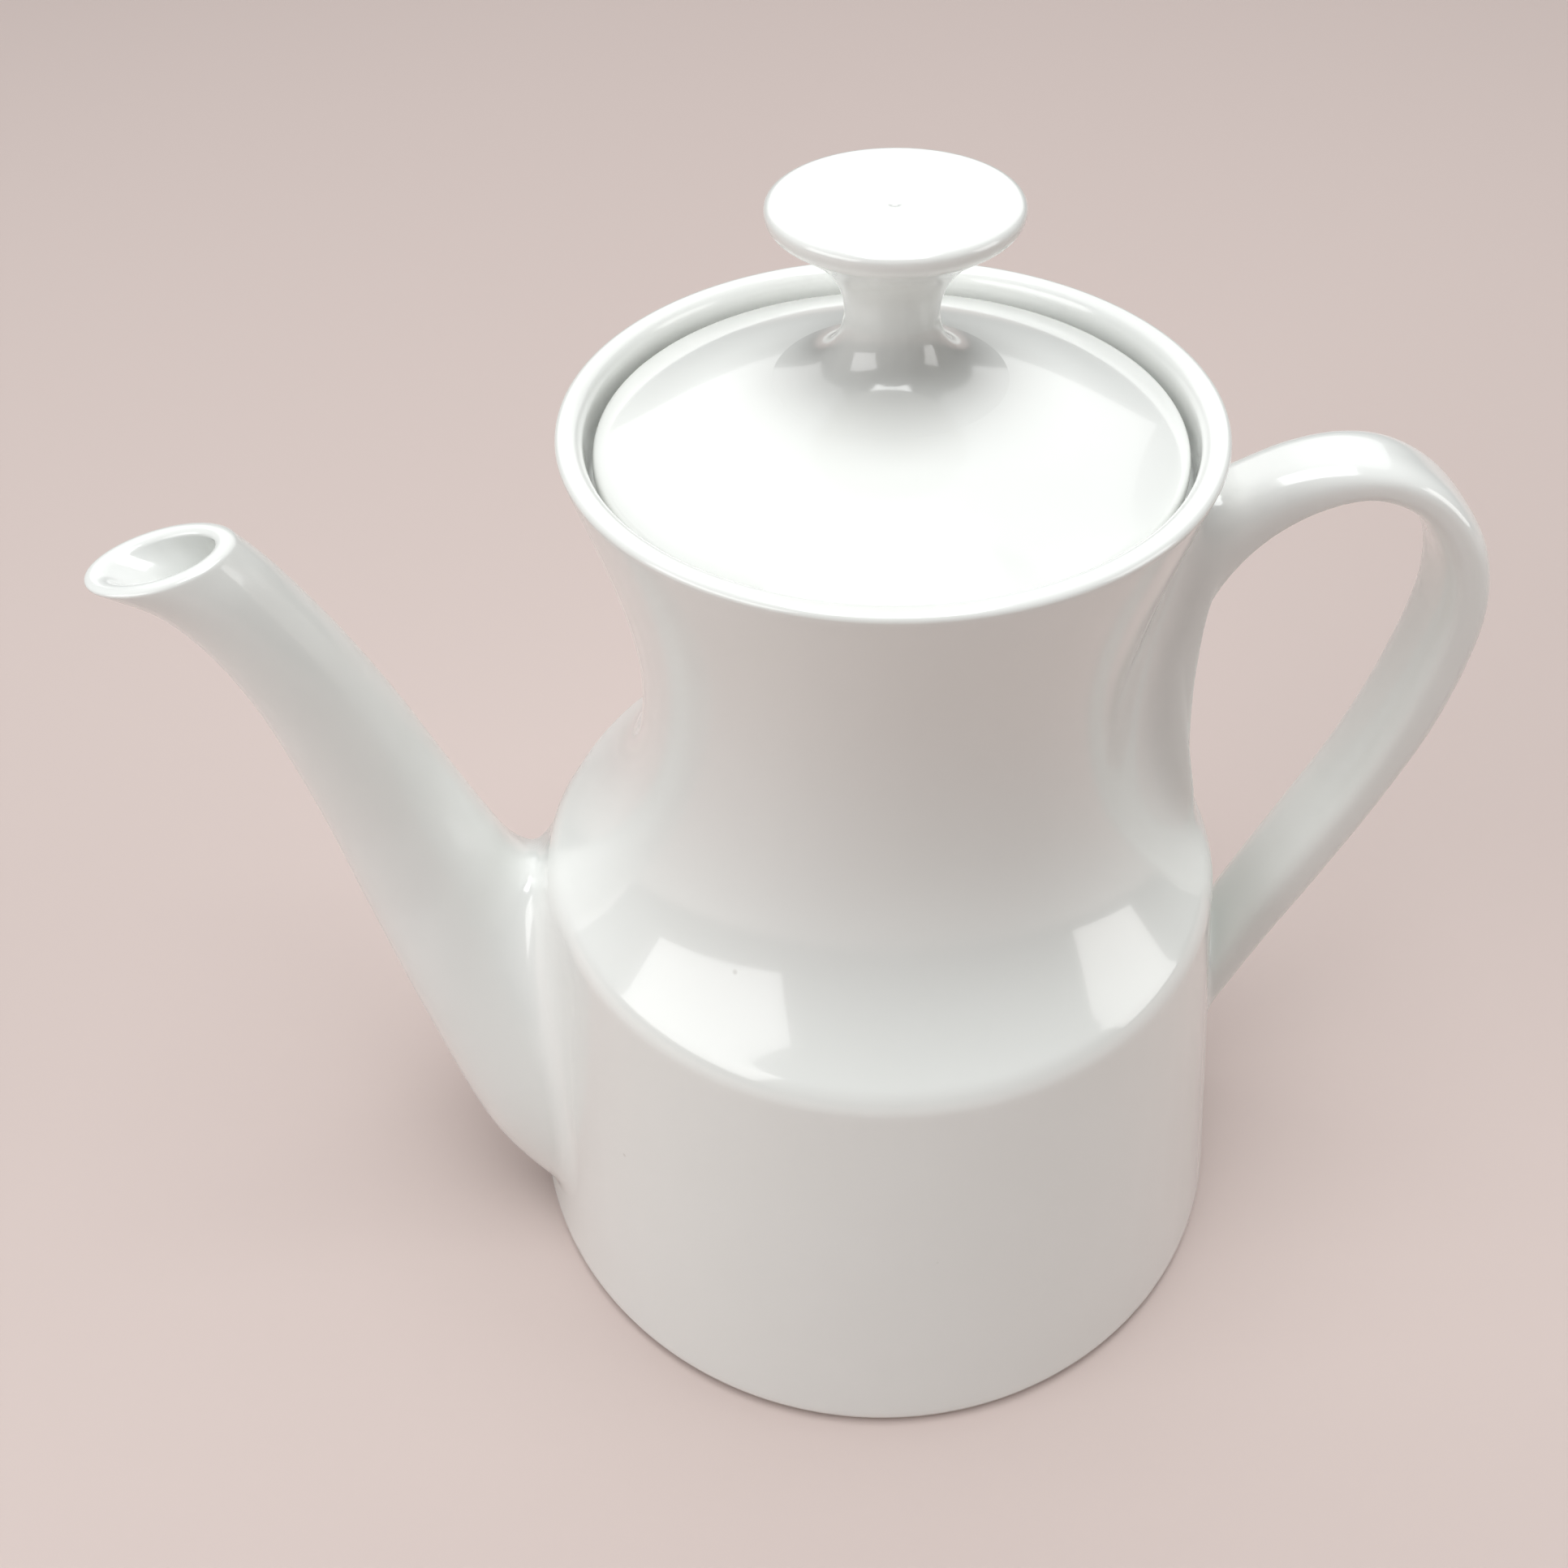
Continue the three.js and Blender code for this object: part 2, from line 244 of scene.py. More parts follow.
SPOUT_UPPER = [(-96.7, 152.5), (-92.8, 147.2), (-89.9, 142.3), (-84.7, 132.4), (-78.6, 118),
               (-73.3, 102.7), (-68.6, 89.6), (-63.8, 78.6), (-54, 69.5), (-40, 65), (-24, 61)]
SPOUT_LOWER = [(-120.4, 148), (-111.4, 143.1), (-105.7, 135.7), (-101.2, 124.8), (-98.2, 112.1),
               (-95.5, 97.2), (-92.8, 80.5), (-86.6, 53.2), (-77.8, 21.2), (-66.5, 1), (-52, -17)]
SPOUT_HALF_WIDTH = [8.7, 8.4, 8.5, 9.1, 10.2, 11.8, 14.3, 19.3, 25, 28, 30]
SPOUT_BIAS = [0, 0, 0, 0, 0, 0, 0.06, 0.22, 0.32, 0.34, 0.34]
SPOUT_WALL = 3.1
SPOUT_CURVE_STEPS = 2001
MOUTH_ROUNDING = 1.2
RIM_POINTS = 22
RIM_SQUARENESS = 2.4
BORE_DEPTH = 96


def sections(upper, lower, width, bias, squareness, inset, around):
    """Rings between two edges in the XZ plane, each drawn in by its inset."""
    across = lower - upper
    length = np.linalg.norm(across, axis=1, keepdims=True)
    centre = (upper + lower) / 2
    reach = across / length * (length / 2 - inset[:, None])
    half = (width - inset)[:, None]
    angle = np.linspace(0, 2 * math.pi, around, endpoint=False)[None, :]
    c, s = np.cos(angle), np.sin(angle)
    size = (np.abs(c) ** squareness + np.abs(s) ** squareness) ** (-1 / squareness)
    x = centre[:, :1] + reach[:, :1] * c * size
    z = centre[:, 1:] + reach[:, 1:] * c * size
    y = half * (1 + bias[:, None] * c) * s * size
    return np.stack([x, y, z], -1)


def spout_travel():
    """Edges and widths of the spout, and how far along its middle each lies from the mouth."""
    count = SPOUT_CURVE_STEPS
    upper, lower = spline(SPOUT_UPPER, count), spline(SPOUT_LOWER, count)
    middle = (upper + lower) / 2
    travel = np.concatenate([[0], np.cumsum(np.linalg.norm(np.diff(middle, axis=0), axis=1))])
    return upper, lower, graded(SPOUT_HALF_WIDTH, count), graded(SPOUT_BIAS, count), travel


def spout_rings(depth, inset, around):
    """Rings of the spout at depths from its mouth, drawn in from its outside by insets."""
    upper, lower, width, bias, travel = spout_travel()
    grid = np.arange(SPOUT_CURVE_STEPS)
    index = np.interp(depth, travel, grid)
    upper, lower = (np.stack([np.interp(index, grid, edge[:, k]) for k in range(2)], 1)
                    for edge in (upper, lower))
    width, bias = np.interp(index, grid, width), np.interp(index, grid, bias)
    return sections(upper, lower, width, bias, 2, inset, around)


def spout_outside(steps, around):
    """Rings of the outside, from behind the rounded rim of the mouth to the root's end."""
    depth = np.linspace(MOUTH_ROUNDING, spout_travel()[4][-1], steps)
    return spout_rings(depth, np.zeros(steps), around)


def spout_mouth(steps, around):
    """Rings from deep in the bore out to the rounded rim."""
    across = np.cos(np.linspace(math.pi, 0, RIM_POINTS))
    rim_inset = SPOUT_WALL * (1 - across) / 2
    rise = (1 - np.abs(across) ** RIM_SQUARENESS) ** (1 / RIM_SQUARENESS)
    rim_depth = MOUTH_ROUNDING * (1 - rise)
    bore_depth = np.linspace(BORE_DEPTH, MOUTH_ROUNDING, steps)[:-1]
    depth = np.concatenate([bore_depth, rim_depth[:-1]])
    inset = np.concatenate([np.full(len(bore_depth), SPOUT_WALL), rim_inset[:-1]])
    return spout_rings(depth, inset, around)


# ------------------------------------------------------------------ handle

HANDLE_OUTER = [(16, 143), (30, 149), (36, 151.5), (41, 153.4), (46, 155.8), (52, 158.8),
                (59, 161.5), (66.2, 162.4), (73.6, 161), (81.5, 156.3), (88, 148.6), (91.4, 139.7),
                (92.3, 130.4), (90.6, 113.6), (86.1, 96.5), (80, 77.9), (73, 58.8), (66, 38.9),
                (60, 22)]
HANDLE_INNER = [(34, 68), (46, 80), (54.2, 90.5), (51.6, 103), (49, 118), (47.2, 133.5),
                (52, 145.8), (59.5, 153.3), (68, 156.2), (76, 153.4), (81.8, 145.6), (84, 137.8),
                (84.3, 130.5), (82.3, 115.3), (78.6, 100.1), (72.3, 82.7), (65.8, 64.4), (60.2, 45),
                (54, 28)]
HANDLE_HALF_WIDTH = [10, 9.5, 9, 8.4, 7.8, 7.1, 6.8, 6.8, 6.9, 7.1, 7.4, 7.6, 7.7, 7.8, 7.8, 7.8,
                     7.9, 8.3, 9]
HANDLE_SQUARENESS = 3


def handle_rings(steps, around):
    """Rings of the strap from the neck, over the arch and down to the wall."""
    upper, lower = spline(HANDLE_OUTER, steps), spline(HANDLE_INNER, steps)
    width = graded(HANDLE_HALF_WIDTH, steps)
    flat = np.zeros(steps)
    return sections(upper, lower, width, flat, HANDLE_SQUARENESS, flat, around)


# ------------------------------------------------------------------ blending

# Measuring the pot and the limbs
PROFILE_SAMPLES = 1400
PROFILE_SMOOTHING = 10
BATCH = 2000
TOO_CLOSE = 0.3
COARSE_STRIDE = 6

# The fillet's rings, its walk out over the pot, and the rounds that settle and even it
FLARE_RINGS = int(44 * FINE)
DESCENT_STEPS = 24
START_SPREAD = 3
WALK_STRIDE = 0.4
WALK_STRIDES = 60
FILLET_ROUNDS = 3
LEAST_SLOPE = 0.08
EVENING_ROUNDS = 4
EVENING_SHARE = 0.5

# The part of a limb that closes inside the pot's wall
EDGE_DEPTH = 0.03
TUCK = 2
DEEP_SHARE = 0.6
CAP_SHARES = (0.8, 0.6, 0.4, 0.2)
LOWEST_HIDDEN = 4


class Turned:
    """Signed distance to the outside of the pot, and its outward direction."""

    def __init__(self):
        outside = pot_outside()
        steps = np.linspace(0, len(outside) - 1, PROFILE_SAMPLES)
        grid = np.arange(len(outside))
        self.points = np.stack([np.interp(steps, grid, outside[:, k]) for k in range(2)], 1)
        tangent = np.gradient(self.points, axis=0)
        span = 2 * PROFILE_SMOOTHING + 1
        padded = np.pad(tangent, ((PROFILE_SMOOTHING, PROFILE_SMOOTHING), (0, 0)), mode="edge")
        tangent = np.stack(
            [np.convolve(padded[:, k], np.ones(span) / span, mode="valid") for k in range(2)], 1
        )
        normal = np.stack([tangent[:, 1], -tangent[:, 0]], 1)
        self.normals = normal / np.linalg.norm(normal, axis=1, keepdims=True)

    def measure(self, p):
        """Distances and directions at points."""
        flat = np.stack([np.hypot(p[:, 0], p[:, 1]), p[:, 2]], 1)
        distance = np.empty(len(p))
        normal = np.empty((len(p), 2))
        for start in range(0, len(p), BATCH):
            part = slice(start, start + BATCH)
            gap = ((flat[part][:, None, :] - self.points[None]) ** 2).sum(-1)
            nearest = gap.argmin(1)
            normal[part] = self.normals[nearest]
            distance[part] = ((flat[part] - self.points[nearest]) * normal[part]).sum(1)
        turn = p[:, :2] / np.maximum(flat[:, :1], TINY)
        return distance, np.column_stack([normal[:, :1] * turn, normal[:, 1]])


class Lofted:
    """Signed distance to a fine closed mesh, and its outward direction."""

    def __init__(self, rings):
        vertices, faces = capped_tube(rings)
        mesh = bpy.data.meshes.new("measure")
        mesh.from_pydata(vertices.tolist(), [], faces)
        if signed_volume(mesh) < 0:
            mesh.flip_normals()
        self.tree = BVHTree.FromPolygons([v.co for v in mesh.vertices],
                                         [tuple(f.vertices) for f in mesh.polygons])
        bpy.data.meshes.remove(mesh)

    def measure(self, p):
        """Distances and directions at points."""
        distance = np.empty(len(p))
        normals = np.empty((len(p), 3))
        for i, point in enumerate(p.tolist()):
            point = Vector(point)
            place, normal, _, gap = self.tree.find_nearest(point)
            away = point - place
            outside = away.dot(normal) >= 0
            distance[i] = gap if outside else -gap
            if gap > TOO_CLOSE:
                normal = away / gap if outside else -away / gap
            normals[i] = normal
        return distance, normals


def along(lines, steps):
    """Points at fractional steps along each line."""
    low = np.clip(steps.astype(int), 0, len(lines) - 2)
    part = (steps - low)[..., None]
    column = np.arange(lines.shape[1])
    return lines[low, column] * (1 - part) + lines[low + 1, column] * part


def first_below(lines, level_at):
    """Fractional step at which each line first comes closer to the pot than a level."""
    picked = lines[::COARSE_STRIDE]
    flat = picked.reshape(-1, 3)
    clear = (turned_body.measure(flat)[0] - level_at(flat)).reshape(picked.shape[:2])
    first = np.maximum((clear < 0).argmax(0), 1)
    column = np.arange(lines.shape[1])
    before, after = clear[first - 1, column], clear[first, column]
    return COARSE_STRIDE * (first - 1 + before / (before - after))


def walk_out(points, own, radius_at=None):
    """Moves points one stride over the pot, away from the limb.

    Given a radius, they go no further than where the fillet has run out.
    """
    away, slope = own.measure(points)
    normal = turned_body.measure(points)[1]
    heading = slope - normal * (slope * normal).sum(1, keepdims=True)
    heading /= np.linalg.norm(heading, axis=1, keepdims=True)
    left = radius_at(points) - away if radius_at else np.full(len(points), WALK_STRIDE)
    moved = points + heading * np.clip(left, 0, WALK_STRIDE)[:, None]
    height, normal = turned_body.measure(moved)
    return moved - normal * height[:, None]


def onto_fillet(rings, own, radius_at, skew):
    """Rings moved onto the smooth join of a limb with the pot, and the join's directions there."""
    shape = rings.shape
    points = rings.reshape(-1, 3)
    for _ in range(FILLET_ROUNDS):
        a, normal_a = own.measure(points)
        b, normal_b = turned_body.measure(points)
        b, normal_b = b * skew, normal_b * skew
        radius = radius_at(points)
        h = np.clip(1 - np.abs(a - b) / radius, 0, 1)
        level = np.minimum(a, b) - h * h * radius / 4
        share = np.where(a < b, 1 - h / 2, h / 2)[:, None]
        slope = share * normal_a + (1 - share) * normal_b
        size = (slope ** 2).sum(1)
        points = points - slope * (level / np.maximum(size, LEAST_SLOPE))[:, None]
    return points.reshape(shape), (slope / np.sqrt(size)[:, None]).reshape(shape)


def softened(rings):
    """Rings with all but the first and last drawn towards the middle of their neighbours."""
    middle = rings[1:-1]
    near = (rings[:-2] + rings[2:] + np.roll(middle, 1, 1) + np.roll(middle, -1, 1)) / 4
    return np.concatenate([rings[:1], middle + (near - middle) * EVENING_SHARE, rings[-1:]])


def at_depth(points, depth):
    """Points moved to a depth under the pot's outside, and the pot's direction there."""
    height, normal = turned_body.measure(points)
    return points - normal * (height + depth)[:, None], normal


def evened(paths):
    """Each path again, with the flare's number of points evenly spaced along it."""
    length = np.linalg.norm(np.diff(paths, axis=0), axis=2).cumsum(0)
    length = np.concatenate([np.zeros((1, paths.shape[1])), length])
    out = np.empty((FLARE_RINGS, *paths.shape[1:]))
    for j in range(paths.shape[1]):
        wanted = np.linspace(0, length[-1, j], FLARE_RINGS)
        for k in range(3):
            out[:, j, k] = np.interp(wanted, length[:, j], paths[:, j, k])
    return out


def rooted(lines, own, radius_at, skew, limb_rings):
    """Rings of a limb that follows its lines, flares out over the pot and closes inside the wall.

    The flare reaches its radius out over the pot, and the radius over the skew up the limb.
    Returns the rings from the first ring of the lines, and the shading directions of each ring.
    """
    around = lines.shape[1]
    crossing = first_below(lines, lambda p: 0 * p[:, 2])
    start = first_below(lines, lambda p: radius_at(p) / skew)
    spread = range(-START_SPREAD, START_SPREAD + 1)
    start = sum(np.roll(start, k) for k in spread) / len(spread)
    limb = along(lines, np.linspace(0, 1, limb_rings)[:-1, None] * start[None])

    share = np.linspace(0, 1, DESCENT_STEPS)[:, None]
    down = along(lines, start[None] * (1 - share) + crossing[None] * share)
    out = [down[-1]]
    for _ in range(WALK_STRIDES):
        out.append(walk_out(out[-1], own, radius_at))
    down, out = evened(down), evened(np.array(out))
    turn = np.linspace(0, 1, FLARE_RINGS)[:, None, None]
    flare = (1 - turn) * down + turn * out
    for _ in range(EVENING_ROUNDS):
        flare = softened(onto_fillet(flare, own, radius_at, skew)[0])
    flare, shade = onto_fillet(flare, own, radius_at, skew)
    shade = softened(softened(shade))

    edge = walk_out(flare[-1], own)
    deep = walk_out(edge, own)
    inner = down[-1]
    centre = inner.mean(0)
    hidden = [(edge, EDGE_DEPTH), (deep, TUCK * DEEP_SHARE), (inner, TUCK)]
    hidden += [(centre + (inner - centre) * s, TUCK) for s in CAP_SHARES]
    rings, directions = [limb, flare], [0 * limb, shade]
    for points, depth in hidden:
        placed, normal = at_depth(points, depth)
        if depth == TUCK:
            placed[:, 2] = np.maximum(placed[:, 2], LOWEST_HIDDEN)
        rings.append(placed[None])
        directions.append(normal[None] if depth < TUCK else 0 * normal[None])
    return np.concatenate(rings), np.concatenate(directions)


# ------------------------------------------------------------------ lid

def lid_plate_profile():
    """Section of the domed plate: the hollow underside, the upright edge and the crown."""
    return np.vstack([
        [[0, 173.4]],
        bezier((0, 173.4), (12, 173.4), (22, 170), (32.2, 162.9), 24),
        line((32.2, 162.9), (40.7, 162.8), 6),
        corner((40.7, 162.8), (41.7, 162.8), (41.7, 163.8), 6),
        line((41.7, 163.8), (41.75, 166), 3),
        bezier((41.75, 166), (41.6, 167.35), (41.3, 167.5), (40.2, 167.95), 8),
        bezier((40.2, 167.95), (30, 172.2), (18, 177.55), (0, 177.55), 50),
    ])


def lid_flange_profile():
    """Section of the ring that hangs into the throat."""
    return np.vstack([
        line((33.2, 163.2), (33.2, 151.2), 12),
        corner((33.2, 151.2), (33.2, 150), (34.4, 150), 6),
        line((34.4, 150), (34.6, 150), 1),
        corner((34.6, 150), (35.8, 150), (35.8, 151.2), 6),
        line((35.8, 151.2), (36.2, 163.2), 12),
        line((36.2, 163.2), (33.2, 163.2), 2),
    ])


def lid_knob_profile():
    """Section of the knob, which runs out into the plate so that the two read as one surface."""
    return np.vstack([
        [[0, 176]],
        line((0, 176), (19, 175.1), 8),
        bezier((19, 175.1), (13.4, 176.9), (6.9, 178.4), (6.35, 185.4), 34),
        bezier((6.35, 185.4), (6.3, 191.6), (11.2, 194.6), (15.6, 197.6), 30),
        bezier((15.6, 197.6), (16.5, 198.3), (16.55, 198.9), (16.55, 199.5), 8),
        corner((16.55, 199.5), (16.55, 200.55), (15.4, 200.6), 8),
        bezier((15.4, 200.6), (11, 200.35), (5, 199.95), (1.1, 199.9), 16),
        bezier((1.1, 199.9), (0.6, 199.9), (0.4, 199.7), (0, 199.65), 4),
    ])


# ------------------------------------------------------------------ materials

def nodes_of(name):
    """New material with its node tree and its shader."""
    material = bpy.data.materials.new(name)
    material.use_nodes = True
    tree = material.node_tree
    shader = tree.nodes["Principled BSDF"]
    return material, tree, shader


def link(tree, out_node, out_name, in_node, in_name):
    """Joins a named output of a node to a named or numbered input of another."""
    tree.links.new(out_node.outputs[out_name], in_node.inputs[in_name])


def porcelain(name, tint):
    """White body under a clear glaze, with faint pooling of the glaze, specks and a soft wave."""
    material, tree, shader = nodes_of(name)
    place = tree.nodes.new("ShaderNodeTexCoord")

    cloud = tree.nodes.new("ShaderNodeTexNoise")
    cloud.inputs["Scale"].default_value = 16
    cloud.inputs["Detail"].default_value = 3
    link(tree, place, "Object", cloud, "Vector")
    shade = tree.nodes.new("ShaderNodeValToRGB")
    shade.color_ramp.elements[0].position = 0.3
    shade.color_ramp.elements[0].color = (tint[0] * 0.975, tint[1] * 0.975, tint[2] * 0.965, 1)
    shade.color_ramp.elements[1].position = 0.7
    shade.color_ramp.elements[1].color = (*tint, 1)
    link(tree, cloud, "Fac", shade, "Fac")

    grain = tree.nodes.new("ShaderNodeTexVoronoi")
    grain.inputs["Scale"].default_value = 95
    link(tree, place, "Object", grain, "Vector")
    pick = tree.nodes.new("ShaderNodeMath")
    pick.operation = "GREATER_THAN"
    pick.inputs[1].default_value = 0.93
    split = tree.nodes.new("ShaderNodeSeparateColor")
    link(tree, grain, "Color", split, "Color")
    link(tree, split, "Red", pick, 0)
    dot = tree.nodes.new("ShaderNodeMapRange")
    dot.inputs["From Min"].default_value = 0.03
    dot.inputs["From Max"].default_value = 0.06
    dot.inputs["To Min"].default_value = 0.35
    dot.inputs["To Max"].default_value = 0
    link(tree, grain, "Distance", dot, "Value")
    speck = tree.nodes.new("ShaderNodeMath")
    speck.operation = "MULTIPLY"
    link(tree, pick, "Value", speck, 0)
    link(tree, dot, "Result", speck, 1)
    colour = tree.nodes.new("ShaderNodeMix")
    colour.data_type = "RGBA"
    link(tree, speck, "Value", colour, "Factor")
    link(tree, shade, "Color", colour, "A")
    colour.inputs["B"].default_value = (0.33, 0.3, 0.26, 1)
    link(tree, colour, "Result", shader, "Base Color")

    wave = tree.nodes.new("ShaderNodeTexNoise")
    wave.inputs["Scale"].default_value = 34
    wave.inputs["Detail"].default_value = 1
    link(tree, place, "Object", wave, "Vector")
    bump = tree.nodes.new("ShaderNodeBump")
    bump.inputs["Strength"].default_value = 0.12
    bump.inputs["Distance"].default_value = 0.0012
    link(tree, wave, "Fac", bump, "Height")
    link(tree, bump, "Normal", shader, "Normal")

    shader.inputs["Roughness"].default_value = 0.16
    shader.inputs["IOR"].default_value = 1.5
    shader.inputs["Coat Weight"].default_value = 0.55
    shader.inputs["Coat Roughness"].default_value = 0.035
    return material


def biscuit():
    """Bare ground porcelain of the foot ring."""
    material, tree, shader = nodes_of("bare_porcelain")
    place = tree.nodes.new("ShaderNodeTexCoord")
    grit = tree.nodes.new("ShaderNodeTexNoise")
    grit.inputs["Scale"].default_value = 900
    grit.inputs["Detail"].default_value = 6
    link(tree, place, "Object", grit, "Vector")
    shade = tree.nodes.new("ShaderNodeValToRGB")
    shade.color_ramp.elements[0].color = (0.6, 0.57, 0.51, 1)
    shade.color_ramp.elements[1].color = (0.8, 0.78, 0.72, 1)
    link(tree, grit, "Fac", shade, "Fac")
    link(tree, shade, "Color", shader, "Base Color")
    bump = tree.nodes.new("ShaderNodeBump")
    bump.inputs["Strength"].default_value = 0.3
    bump.inputs["Distance"].default_value = 0.0002
    link(tree, grit, "Fac", bump, "Height")
    link(tree, bump, "Normal", shader, "Normal")
    shader.inputs["Roughness"].default_value = 0.8
    return material


def plain(name, colour, roughness):
    """Even, uncoated material."""
    material, _, shader = nodes_of(name)
    shader.inputs["Base Color"].default_value = (*colour, 1)
    shader.inputs["Roughness"].default_value = roughness
    return material


# ------------------------------------------------------------------ the pot

pot_glaze = porcelain("pot_glaze", (0.86, 0.87, 0.85))
lid_glaze = porcelain("lid_glaze", (0.87, 0.88, 0.86))
bare = biscuit()

# Fineness of the meshes, as rings along and points around
AROUND = int(320 * FINE) // 4 * 4
LID_AROUND = AROUND // 2
SPOUT_RINGS, SPOUT_AROUND = int(130 * FINE), int(144 * FINE)
BORE_RINGS = int(70 * FINE)
HANDLE_RINGS, HANDLE_AROUND = int(120 * FINE), int(96 * FINE)

# Fineness of the lines that a limb follows, and of the solids it is measured against
SPOUT_LINE_STEPS = int(1800 * FINE)
HANDLE_LINE_STEPS = int(2400 * FINE)
SPOUT_SOLID = (int(560 * FINE), int(300 * FINE))
HANDLE_SOLID = (int(800 * FINE), int(150 * FINE))

# Fillet sizes at heights, how they shrink at the mirror plane, and their reach over their rise
SPOUT_JOIN = ([9, 20, 46, 62, 78], [1.2, 3, 4.6, 11, 20])
SPOUT_CROTCH = ([3, 16], [0.58, 1])
SPOUT_SKEW = 1.3
HANDLE_JOIN = ([60, 84, 106], [3, 5.5, 10.5])
HANDLE_SKEW = 1.6


def spout_join(p):
    """Size of the fillet between the spout and the pot, which is widest on the shoulder."""
    return np.interp(p[:, 2], *SPOUT_JOIN) * np.interp(np.abs(p[:, 1]), *SPOUT_CROTCH)


def handle_join(p):
    """Size of the fillet between the handle and the pot, wide on the neck, slight on the wall."""
    return np.interp(p[:, 2], *HANDLE_JOIN)


turned_body = Turned()
pot_body = build_mesh("porcelain_body", *turned(pot_profile(), AROUND), pot_glaze)

spout_solid = Lofted(spout_outside(*SPOUT_SOLID))
spout_lines = spout_outside(SPOUT_LINE_STEPS, SPOUT_AROUND)
spout_tube, spout_shade = rooted(spout_lines, spout_solid, spout_join, SPOUT_SKEW, SPOUT_RINGS)
mouth = spout_mouth(BORE_RINGS, SPOUT_AROUND)
spout_shade = np.concatenate([0 * mouth, spout_shade]).reshape(-1, 3)
spout_shade = np.vstack([spout_shade, np.zeros((2, 3))])
pot_spout = build_mesh(
    "porcelain_spout", *capped_tube(np.concatenate([mouth, spout_tube])), pot_glaze, spout_shade
)

handle_solid = Lofted(handle_rings(*HANDLE_SOLID))
handle_lines = handle_rings(HANDLE_LINE_STEPS, HANDLE_AROUND)
half = len(handle_lines) // 2
upper_half, upper_shade = rooted(
    handle_lines[half::-1], handle_solid, handle_join, HANDLE_SKEW, HANDLE_RINGS
)
lower_half, lower_shade = rooted(
    handle_lines[half:], handle_solid, handle_join, HANDLE_SKEW, HANDLE_RINGS
)
handle_tube = np.concatenate([upper_half[:0:-1], lower_half])
handle_shade = np.concatenate([upper_shade[:0:-1], lower_shade]).reshape(-1, 3)
handle_shade = np.vstack([handle_shade, np.zeros((2, 3))])
pot_handle = build_mesh("porcelain_handle", *capped_tube(handle_tube), pot_glaze, handle_shade)

# The foot ring's underside is bare
BARE_BELOW = 0.6 * MM
BARE_FACING = -0.2
pot_body.data.materials.append(bare)
for face in pot_body.data.polygons:
    if face.center.z < BARE_BELOW and face.normal.z < BARE_FACING:
        face.material_index = 1

lid_plate = build_mesh("porcelain_lid", *turned(lid_plate_profile(), AROUND), lid_glaze)
lid_flange = build_mesh(
    "porcelain_lid_flange", *turned(lid_flange_profile(), LID_AROUND), lid_glaze
)
lid_knob = build_mesh("porcelain_knob", *turned(lid_knob_profile(), LID_AROUND), lid_glaze)

for made, node, body, slot in (
    (pot_body, "pot_body", "pot", "pot_glaze"),
    (pot_spout, "pot_spout", "pot", "pot_glaze"),
    (pot_handle, "pot_handle", "pot", "pot_glaze"),
    (lid_plate, "lid_plate", "lid", "lid_glaze"),
    (lid_flange, "lid_flange", "lid", "lid_glaze"),
    (lid_knob, "lid_knob", "lid", "lid_glaze"),
):
    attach(made, body)
    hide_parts(node)


# ------------------------------------------------------------------ floor and light

def quad(name, centre, size, material):
    """Level square."""
    half = size / 2
    mesh = bpy.data.meshes.new(name)
    corners = [(-half, -half, 0), (half, -half, 0), (half, half, 0), (-half, half, 0)]
    mesh.from_pydata(corners, [], [(0, 1, 2, 3)])
    mesh.materials.append(material)
    made = bpy.data.objects.new(name, mesh)
    made.location = centre
    bpy.context.scene.collection.objects.link(made)
    return made


FLOOR_SIZE = 12
AIM_HEIGHT = 0.1

floor = quad("floor", (0, 0, 0), FLOOR_SIZE, plain("pale_floor", (0.6, 0.5, 0.47), 0.7))

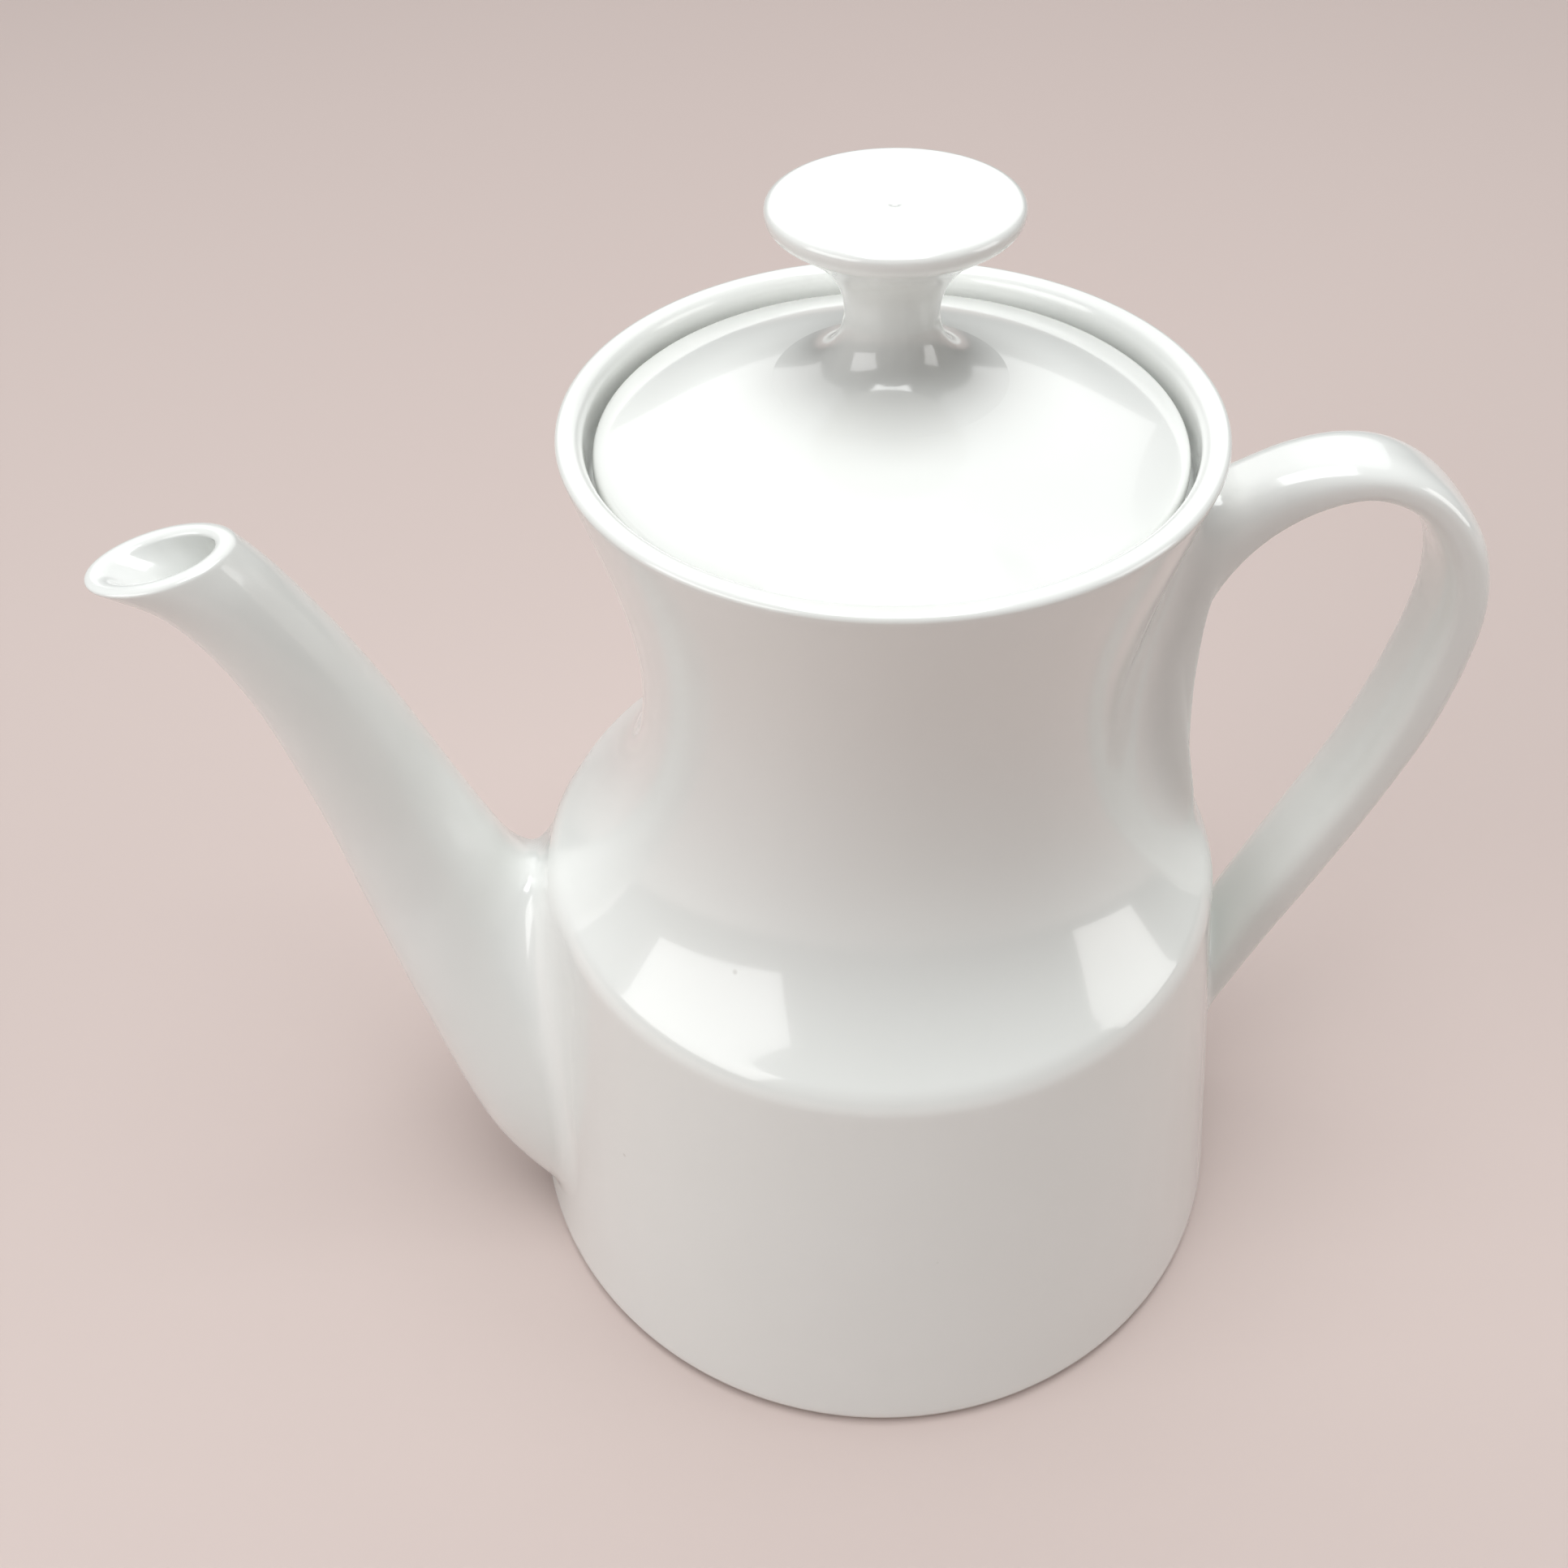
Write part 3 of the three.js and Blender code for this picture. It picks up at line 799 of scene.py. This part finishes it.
world = bpy.data.worlds.new("soft_studio")
bpy.context.scene.world = world
world.use_nodes = True
background = world.node_tree.nodes["Background"]
background.inputs["Color"].default_value = (0.93, 0.96, 1, 1)
background.inputs["Strength"].default_value = 0.04


def window(name, azimuth, elevation, distance, size, power, colour):
    """Soft rectangular light aimed at the middle of the pot, from angles in degrees."""
    aim = Vector((AXIS_X, 0, AIM_HEIGHT))
    a, e = math.radians(azimuth), math.radians(elevation)
    away = Vector((math.cos(e) * math.cos(a), math.cos(e) * math.sin(a), math.sin(e)))
    lamp = bpy.data.lights.new(name, "AREA")
    lamp.shape = "RECTANGLE"
    lamp.size, lamp.size_y = size
    lamp.energy = power
    lamp.color = colour
    made = bpy.data.objects.new(name, lamp)
    made.location = aim + away * distance
    made.rotation_euler = away.to_track_quat("Z", "Y").to_euler()
    bpy.context.scene.collection.objects.link(made)
    return made


window("window_left", -150, 26, 1.6, (1.35, 0.8), 10, (1, 1, 1))
window("window_right", -10, 15, 1.6, (0.7, 0.8), 4.6, (1, 0.99, 0.97))
window("ceiling", -90, 84, 2, (1.3, 1.3), 34, (0.98, 1, 1))
window("back_panel", 90, 48, 2.2, (3.4, 2.4), 24, (1, 1, 1))

bpy.context.scene.view_settings.view_transform = "Standard"


# ------------------------------------------------------------------ camera

CAMERA_FROM_AXIS = (-0.0162, -0.18494, 0.28101)
CAMERA_YAW, CAMERA_PITCH, CAMERA_ROLL = 0.08, 45.37, -2.03

camera_data = bpy.data.cameras.new("camera")
camera_data.sensor_width = 36
camera_data.lens = 34.57
camera_data.clip_start = 0.01
camera = bpy.data.objects.new("camera", camera_data)
camera.matrix_world = (
    Matrix.Translation(Vector((AXIS_X, 0, 0)) + Vector(CAMERA_FROM_AXIS))
    @ Matrix.Rotation(math.radians(CAMERA_YAW), 4, "Z")
    @ Matrix.Rotation(math.radians(CAMERA_PITCH), 4, "X")
    @ Matrix.Rotation(math.radians(CAMERA_ROLL), 4, "Z")
)
bpy.context.scene.collection.objects.link(camera)
bpy.context.scene.camera = camera
